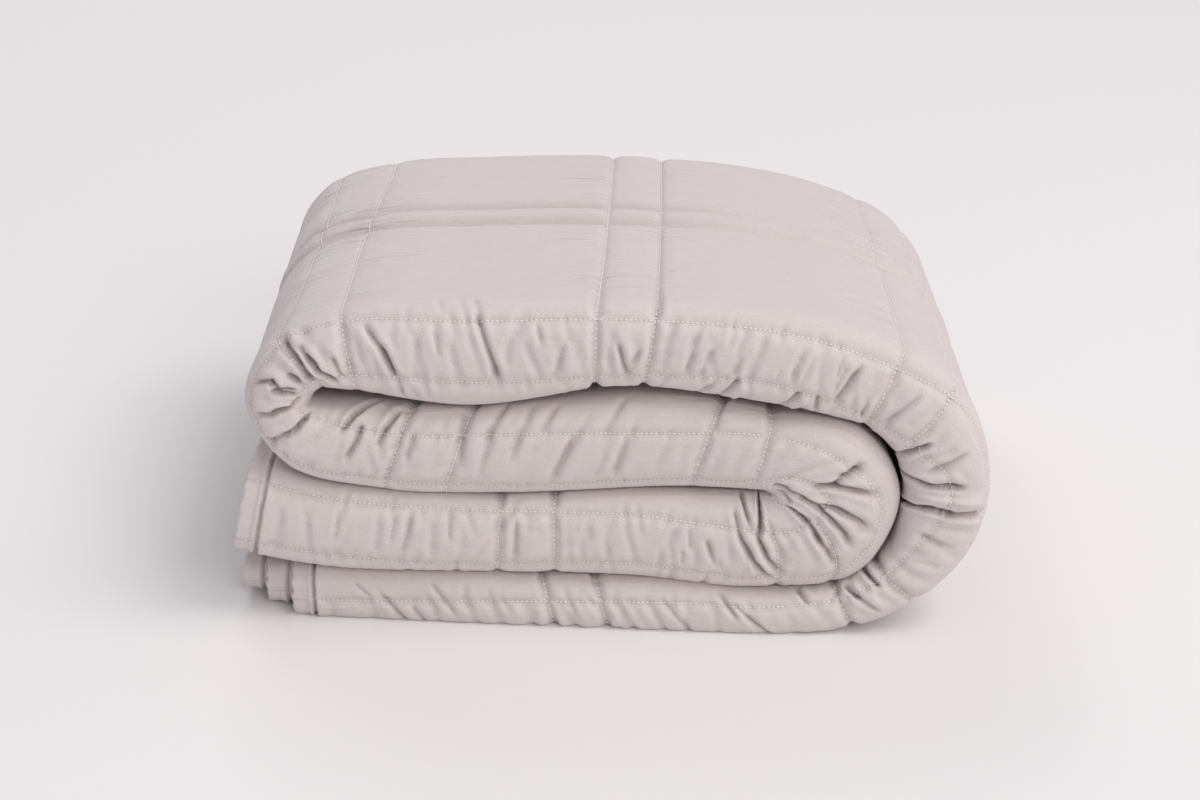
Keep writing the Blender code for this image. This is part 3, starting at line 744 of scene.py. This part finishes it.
def settle(points):
    """Drops the back of the stack and puts the strip in the object's own frame."""
    points = points.astype(float)
    x = points[..., 0]
    share = points[..., 1] / STRIP_DEPTH
    flare = np.interp(s_at, strip_along, strip[:, 6])[:, None]
    drop = BACK_DROP + BACK_DROP_RIGHT * np.clip(x, 0, None) / RIGHT_REACH
    z = np.maximum(points[..., 2] * (1 - drop * share ** 2), 0.0)
    return np.stack([x + share * flare - CENTRE_X, points[..., 1] - STRIP_DEPTH / 2, z], axis=-1)


cloth = settle(skin_done)


# ---- Quilted cloth: its colour and its pieces ----
# Both faces are one greyish-pink cotton, plain woven with a little slub, with shade painted darker into
# its creases and seams. The strip is cut at four of its seams into five filled runs and turns.

CLOTH_COLOUR = (0.655, 0.590, 0.580, 1)
# The darker colour the cloth is mixed towards: painted shade in its creases and seams, and its darker
# threads, slubs and mottling
SHADE_AND_WEAVE_COLOUR = (0.33, 0.265, 0.255, 1)
CLOTH_FINISH = {"Roughness": 0.80, "Sheen Weight": 0.20, "Sheen Roughness": 0.45}
# How far the painted shade of the creases goes towards that darker colour
CREASE_SHADE = 0.60
RIPPLE_HIGH = 0.0016
WEAVE_HIGH = 0.00026

# Noise over the cloth, how many to the metre along and across: ripples, threads, slubs
RIPPLE_RUN, WEAVE_RUN, WEFT_RUN, SLUB_RUN = (24, 160), (900, 2400), (2300, 620), (80, 620)
PATCH_SCALE, MOTTLE_SCALE = 22.0, 60.0

# Each turns one span of values into another: the dark line in a seam, painted shade in its valley that
# also stands for its dark needle holes, the ripples' noise, and how the ripples fade off the cross
# seams, come in patches, stop short of the long seams, keep to the faces and grow towards the left
SEAM_LINE = (0.0002, 0.0011, 0.30, 0.0)
RIPPLE_SPAN = (0.38, 0.66, 0.0, 1.0)
OFF_CROSS = (0.0, 0.036, 1.0, 0.06)
PATCH_SPAN = (0.38, 0.62, 0.25, 1.2)
OFF_LONG = (0.001, 0.006, 0.0, 1.0)
ON_FACES = (0.022, 0.045, 0.15, 1.0)
TO_LEFT = (0.56, 0.67, 0.7, 1.6)

# How strongly each noise shades the cloth, and the shift that roughly centres it
MOTTLE_SHADE, WEAVE_SHADE, WEFT_SHADE, SLUB_SHADE = (
    (0.16, -0.06), (0.50, -0.25), (0.36, -0.18), (0.34, -0.17))

# What the hems' rows give as their distance from a cross seam
HEM_GAP = 0.02


class Nodes:
    """Adds shader nodes to a material and joins them."""

    def __init__(self, mat):
        mat.use_nodes = True
        self.tree = mat.node_tree
        self.shader = self.tree.nodes["Principled BSDF"]

    def add(self, kind, *inputs, **settings):
        node = self.tree.nodes.new("ShaderNode" + kind)
        for name, value in settings.items():
            setattr(node, name, value)
        for i, value in enumerate(inputs):
            self.put(value, node.inputs[i])
        return node

    def put(self, value, socket):
        if isinstance(value, bpy.types.NodeSocket):
            self.tree.links.new(value, socket)
        elif value is not None:
            socket.default_value = value

    def math(self, operation, a, b=None, c=None):
        return self.add("Math", a, b, c, operation=operation).outputs[0]

    def ranged(self, value, span):
        return self.add("MapRange", value, *span).outputs[0]

    def noise(self, place, detail, scale=1.0, run=None):
        if run:
            place = self.add("VectorMath", place, (*run, 1), operation="MULTIPLY").outputs[0]
        node = self.add("TexNoise")
        for name, value in (("Vector", place), ("Scale", scale), ("Detail", detail)):
            self.put(value, node.inputs[name])
        return node.outputs["Fac"]


def cloth_material():
    """Cotton: a fine weave, shallow ripples off the seams, and shade painted darker into its creases
    and seams.
    """
    mat = bpy.data.materials.new("quilt_cotton")
    n = Nodes(mat)
    place = n.add("UVMap", uv_map="cloth").outputs["UV"]
    spot = n.add("SeparateXYZ", place)
    gap = n.add("SeparateXYZ", n.add("UVMap", uv_map="seam_gap").outputs["UV"])
    # The shade painted into the cloth: a dark line along each seam, for the shade in its valley and its
    # needle holes, and the shade kept on the points for its creases
    nearest = n.math("MINIMUM", gap.outputs["X"], gap.outputs["Y"])
    crease = n.add("Attribute", attribute_name="painted_shade").outputs["Fac"]
    shade = n.math("MAXIMUM", n.ranged(nearest, SEAM_LINE), n.math("MULTIPLY", crease, CREASE_SHADE))

    ripple = n.ranged(n.noise(place, 2.0, run=RIPPLE_RUN), RIPPLE_SPAN)
    patch = n.ranged(n.noise(place, 1.0, PATCH_SCALE), PATCH_SPAN)
    off_seam = n.math("MULTIPLY", n.ranged(gap.outputs["Y"], OFF_CROSS), patch)
    face = n.ranged(n.math("ABSOLUTE", spot.outputs["Y"]), ON_FACES)
    side = n.math("MULTIPLY", face, n.ranged(spot.outputs["X"], TO_LEFT))
    side = n.math("MULTIPLY", side, n.ranged(gap.outputs["X"], OFF_LONG))
    ripple = n.math("MULTIPLY", n.math("MULTIPLY", ripple, off_seam), side)
    weave = n.noise(place, 1.0, run=WEAVE_RUN)
    weft = n.noise(place, 1.0, run=WEFT_RUN)
    slub = n.noise(place, 2.0, run=SLUB_RUN)
    height = n.math("MULTIPLY_ADD", ripple, RIPPLE_HIGH, n.math("MULTIPLY", weave, WEAVE_HIGH))
    bump = n.add("Bump")
    n.put(1.0, bump.inputs["Distance"])
    n.put(height, bump.inputs["Height"])
    n.put(bump.outputs["Normal"], n.shader.inputs["Normal"])

    mottle = n.noise(place, 3.0, MOTTLE_SCALE)
    for noise, share in ((mottle, MOTTLE_SHADE), (weave, WEAVE_SHADE),
                         (weft, WEFT_SHADE), (slub, SLUB_SHADE)):
        shade = n.math("ADD", shade, n.math("MULTIPLY_ADD", noise, *share))
    mix = n.add("Mix", data_type="RGBA")
    n.put(shade, mix.inputs["Factor"])
    n.put(CLOTH_COLOUR, mix.inputs["A"])
    n.put(SHADE_AND_WEAVE_COLOUR, mix.inputs["B"])
    n.put(mix.outputs["Result"], n.shader.inputs["Base Color"])
    for name, value in CLOTH_FINISH.items():
        n.put(value, n.shader.inputs[name])
    return mat


def add_object(name, data):
    """An object of the data, linked to the scene."""
    obj = bpy.data.objects.new(name, data)
    bpy.context.scene.collection.objects.link(obj)
    return obj


cotton = cloth_material()


def strip_piece(name, start, stop):
    """One closed run of the strip from row to row, capped inside its end seams."""
    points = cloth[start:stop + 1]
    rows, cols = points.shape[:2]
    i, j = np.meshgrid(np.arange(rows - 1), np.arange(cols), indexing="ij")
    k = (j + 1) % cols
    quads = np.stack([i * cols + j, i * cols + k, (i + 1) * cols + k, (i + 1) * cols + j], -1)
    faces = quads.reshape(-1, 4).tolist()
    faces.append(list(range(cols - 1, -1, -1)))
    faces.append(list(range((rows - 1) * cols, rows * cols)))
    mesh = bpy.data.meshes.new(name)
    mesh.from_pydata(points.reshape(-1, 3).tolist(), [], faces)
    mesh.polygons.foreach_set("use_smooth", [True] * (len(faces) - 2) + [False] * 2)
    u_line = np.append(u_at, half_girth)
    gap_u = np.append(to_long[0], to_long[0, 0])
    gap_s = np.where(own_at, to_cross[:, 0], HEM_GAP)
    for layer, across, along in (("cloth", u_line, m_at), ("seam_gap", gap_u, gap_s)):
        one, two = along[start + i], along[start + i + 1]
        left, right = across[j], across[j + 1]
        pairs = ((one, left), (one, right), (two, right), (two, left))
        corner = np.stack([np.stack(pair, -1) for pair in pairs], axis=2)
        if layer == "seam_gap":
            corner = corner[..., ::-1]
        flat = np.zeros((len(mesh.loops), 2), dtype=np.float32)
        flat[:corner.size // 2] = corner.reshape(-1, 2)
        mesh.uv_layers.new(name=layer).data.foreach_set("uv", flat.ravel())
    # The painted shade of the creases, the hems' furrows and the long pair, kept on each point
    shade_layer = mesh.attributes.new("painted_shade", "FLOAT", "POINT")
    shade_layer.data.foreach_set("value", np.float32(painted_shade[start:stop + 1]).ravel())
    mesh.materials.append(cotton)
    obj = add_object(name, mesh)
    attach(obj, "root")
    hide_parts("blanket")


# The pieces, and the seam each ends on, counted from 0; the last ends with the strip
RUNS = {"bottom_run": 2, "outer_turn": 6, "top_run": 10, "second_run": 14, "third_run": 18}
row_of = [int(np.argmin(np.where(own_at, np.abs(s_at - seam), 1.0))) for seam in cross_seams]
start = 0
for name, last_seam in RUNS.items():
    stop = row_of[last_seam] if last_seam < len(row_of) else len(s_at) - 1
    strip_piece(name, start, stop)
    start = stop


# ---- Stitches ----
# Off-white cotton thread along every seam that shows. Each stitch is a short rounded
# dash, its ends drawn into the cloth, set out by Geometry Nodes.

STITCH_PITCH = 0.0024
STITCH_SIZES = {"Length": 0.0019, "Thickness": 0.00046}
STITCH_SIDES = 6
STITCH_RINGS = ((-0.36, 0.80), (0.0, 1.0), (0.36, 0.80))
STITCH_WIDE, STITCH_SINK, STITCH_LIFT = 0.85, 0.45, 0.35
STITCH_STRAY = 0.00006
HEADING_REACH = 0.0006
THREAD_COLOUR, THREAD_ROUGH = (0.80, 0.76, 0.74, 1), 0.6

# Where the lines stop: rows in from the hems, how far round the front, and how far past
# the face for a seam that shows whole
ROWS_IN = (6, 2)
FRONT_SEWN = 0.045
PAST_FACE = 0.01


def stitch_shape():
    """One stitch along X, of unit length and thickness: a rounded dash."""
    verts = [(-0.5, 0, -STITCH_SINK)]
    for x, r in STITCH_RINGS:
        for k in range(STITCH_SIDES):
            turn = 2 * math.pi * k / STITCH_SIDES
            verts.append((x, r * STITCH_WIDE * math.cos(turn), r / 2 * math.sin(turn)))
    end = len(verts)
    verts.append((0.5, 0, -STITCH_SINK))
    faces = []
    for k in range(STITCH_SIDES):
        n = (k + 1) % STITCH_SIDES
        faces.append((0, 1 + n, 1 + k))
        faces.append((end, end - STITCH_SIDES + k, end - STITCH_SIDES + n))
        for ring in range(1, end - STITCH_SIDES, STITCH_SIDES):
            after = ring + STITCH_SIDES
            faces.append((ring + k, ring + n, after + n, after + k))
    mesh = bpy.data.meshes.new("stitch")
    mesh.from_pydata(verts, [], faces)
    return mesh


def sewn_along(rows, cols):
    """Stitch places, directions and normals along a line of the cloth."""
    points, outs = cloth[rows, cols], cloth_out[rows, cols]
    run = running(norm(np.diff(points, axis=0), axis=1))
    at = np.arange(STITCH_PITCH / 2, run[-1], STITCH_PITCH)
    at = at + rng.normal(0, STITCH_STRAY, len(at))

    def read(values, where):
        return np.stack([np.interp(where, run, values[:, k]) for k in range(3)], 1)

    out = read(outs, at)
    head = read(points, at + HEADING_REACH) - read(points, at - HEADING_REACH)
    head /= norm(head, axis=1)[:, None] + 1e-9
    out -= head * (out * head).sum(1)[:, None]
    out /= norm(out, axis=1)[:, None] + 1e-9
    return read(points, at) + out * STITCH_SIZES["Thickness"] * STITCH_LIFT, head, out


cloth_out = outward_of(cloth)
front_rows = slice(first_own + ROWS_IN[0], end_own - ROWS_IN[1])
shown = (s_at > station_at["turn_foot"]) & (s_at < station_at["second_left"]) & own_at
sewn_lines = []
for rows, places in ((front_rows, (seam_u, -seam_u)), (shown, LONG_SEAMS[1:3])):
    for u in places:
        sewn_lines.append(sewn_along(rows, np.argmin(np.abs(u_at - u))))
for row in row_of:
    reach = face_girth + PAST_FACE if shown[row] else FRONT_SEWN
    sewn_lines.append(sewn_along(row, (u_at > -FRONT_SEWN) & (u_at < reach)))
spots, heads, outs = (np.concatenate(part) for part in zip(*sewn_lines))

dots = bpy.data.meshes.new("stitch_places")
dots.from_pydata(spots.tolist(), [], [])
for name, values in (("head", heads), ("out", outs)):
    layer = dots.attributes.new(name, "FLOAT_VECTOR", "POINT")
    layer.data.foreach_set("vector", np.float32(values).ravel())
stitches = add_object("stitches", dots)


def plain_material(name, colour, rough):
    """A material of one colour and roughness."""
    mat = bpy.data.materials.new(name)
    shader = Nodes(mat).shader
    shader.inputs["Base Color"].default_value = colour
    shader.inputs["Roughness"].default_value = rough
    return mat


thread = plain_material("quilt_thread", THREAD_COLOUR, THREAD_ROUGH)


def stitch_nodes(shape):
    """Instances the stitch on every place, along the seam and out of the cloth."""
    group = bpy.data.node_groups.new("sew_stitches", "GeometryNodeTree")
    group.interface.new_socket("Geometry", in_out="INPUT", socket_type="NodeSocketGeometry")
    group.interface.new_socket("Geometry", in_out="OUTPUT", socket_type="NodeSocketGeometry")
    for name in STITCH_SIZES:
        group.interface.new_socket(name, in_out="INPUT", socket_type="NodeSocketFloat")
    start, end, place, model, first, second, real, paint, size = (
        group.nodes.new(kind) for kind in (
            "NodeGroupInput", "NodeGroupOutput", "GeometryNodeInstanceOnPoints",
            "GeometryNodeObjectInfo", "FunctionNodeAlignRotationToVector",
            "FunctionNodeAlignRotationToVector", "GeometryNodeRealizeInstances",
            "GeometryNodeSetMaterial", "ShaderNodeCombineXYZ"))
    model.inputs["Object"].default_value = shape
    paint.inputs["Material"].default_value = thread
    first.axis = "X"
    second.axis = "Z"
    second.pivot_axis = "X"
    for name, turn in (("head", first), ("out", second)):
        read = group.nodes.new("GeometryNodeInputNamedAttribute")
        read.data_type = "FLOAT_VECTOR"
        read.inputs["Name"].default_value = name
        group.links.new(read.outputs["Attribute"], turn.inputs["Vector"])
    for one, made, two, taken in (
            (start, "Geometry", place, "Points"), (model, "Geometry", place, "Instance"),
            (start, "Length", size, "X"), (start, "Thickness", size, "Y"),
            (start, "Thickness", size, "Z"), (size, "Vector", place, "Scale"),
            (first, "Rotation", second, "Rotation"), (second, "Rotation", place, "Rotation"),
            (place, "Instances", real, "Geometry"), (real, "Geometry", paint, "Geometry"),
            (paint, "Geometry", end, "Geometry")):
        group.links.new(one.outputs[made], two.inputs[taken])
    return group


shape = add_object("stitch", stitch_shape())
sew = stitches.modifiers.new("sew", "NODES")
sew.node_group = stitch_nodes(shape)
for socket in sew.node_group.interface.items_tree:
    if socket.name in STITCH_SIZES:
        sew[socket.identifier] = STITCH_SIZES[socket.name]
sewn = bpy.data.meshes.new_from_object(
    stitches.evaluated_get(bpy.context.evaluated_depsgraph_get()))
sewn.name = "stitches"
stitches.modifiers.remove(sew)
stitches.data = sewn
bpy.data.objects.remove(shape, do_unlink=True)
sewn.materials.clear()
sewn.materials.append(thread)
sewn.polygons.foreach_set("use_smooth", [True] * len(sewn.polygons))
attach(stitches, "root")


# ---- Floor, light and camera ----
# A broad floor of pale matt paper, three large soft lamps, and the camera a little above
# the blanket's top, nearly square to its front fold.

FLOOR = ((-6, -6, 0), (6, -6, 0), (6, 6, 0), (-6, 6, 0))
PAPER_COLOUR, PAPER_ROUGH = (0.83, 0.81, 0.81, 1), 0.9
AIR_COLOUR, AIR_LIGHT = (0.97, 0.95, 1.0, 1), 0.47
LAMPS = (  # name, place, size, watts, colour
    ("key", (3.1, -1.25, 5.0), (3.5, 3.5), 161, (1.0, 0.97, 0.945)),
    ("front", (1.6, -3.2, 2.0), (2.0, 1.2), 44, (1.0, 0.98, 0.96)),
    ("back", (-1.3, 3.0, 3.0), (2.4, 2.4), 34, (1.0, 0.98, 0.97)),
)
LAMP_AIM = (0, 0, 0.08)
CAMERA_LENS = 65.1
CAMERA_SENSOR = 36
CAMERA_PITCH = math.radians(21.6)
CAMERA_YAW = math.radians(1.5)
CAMERA_SPOT = (0.0251, -1.1492, 0.5183)

floor_mesh = bpy.data.meshes.new("studio_floor")
floor_mesh.from_pydata(FLOOR, [], [(0, 1, 2, 3)])
studio_floor = add_object("studio_floor", floor_mesh)
floor_mesh.materials.append(plain_material("studio_paper", PAPER_COLOUR, PAPER_ROUGH))

world = bpy.data.worlds.new("studio")
world.use_nodes = True
air = world.node_tree.nodes["Background"]
air.inputs["Color"].default_value = AIR_COLOUR
air.inputs["Strength"].default_value = AIR_LIGHT
scene = bpy.context.scene
scene.world = world
scene.view_settings.view_transform = "Standard"

for name, place, size, watts, colour in LAMPS:
    lamp_data = bpy.data.lights.new(name, "AREA")
    lamp_data.shape = "RECTANGLE"
    lamp_data.size, lamp_data.size_y = size
    lamp_data.energy = watts
    lamp_data.color = colour
    lamp = add_object(name, lamp_data)
    lamp.location = place
    lamp.rotation_euler = (Vector(LAMP_AIM) - Vector(place)).to_track_quat("-Z", "Y").to_euler()

camera_data = bpy.data.cameras.new("camera")
camera_data.lens = CAMERA_LENS
camera_data.sensor_width = CAMERA_SENSOR
camera = add_object("camera", camera_data)
camera.location = CAMERA_SPOT
camera.rotation_euler = (math.pi / 2 - CAMERA_PITCH, 0, CAMERA_YAW)
scene.camera = camera
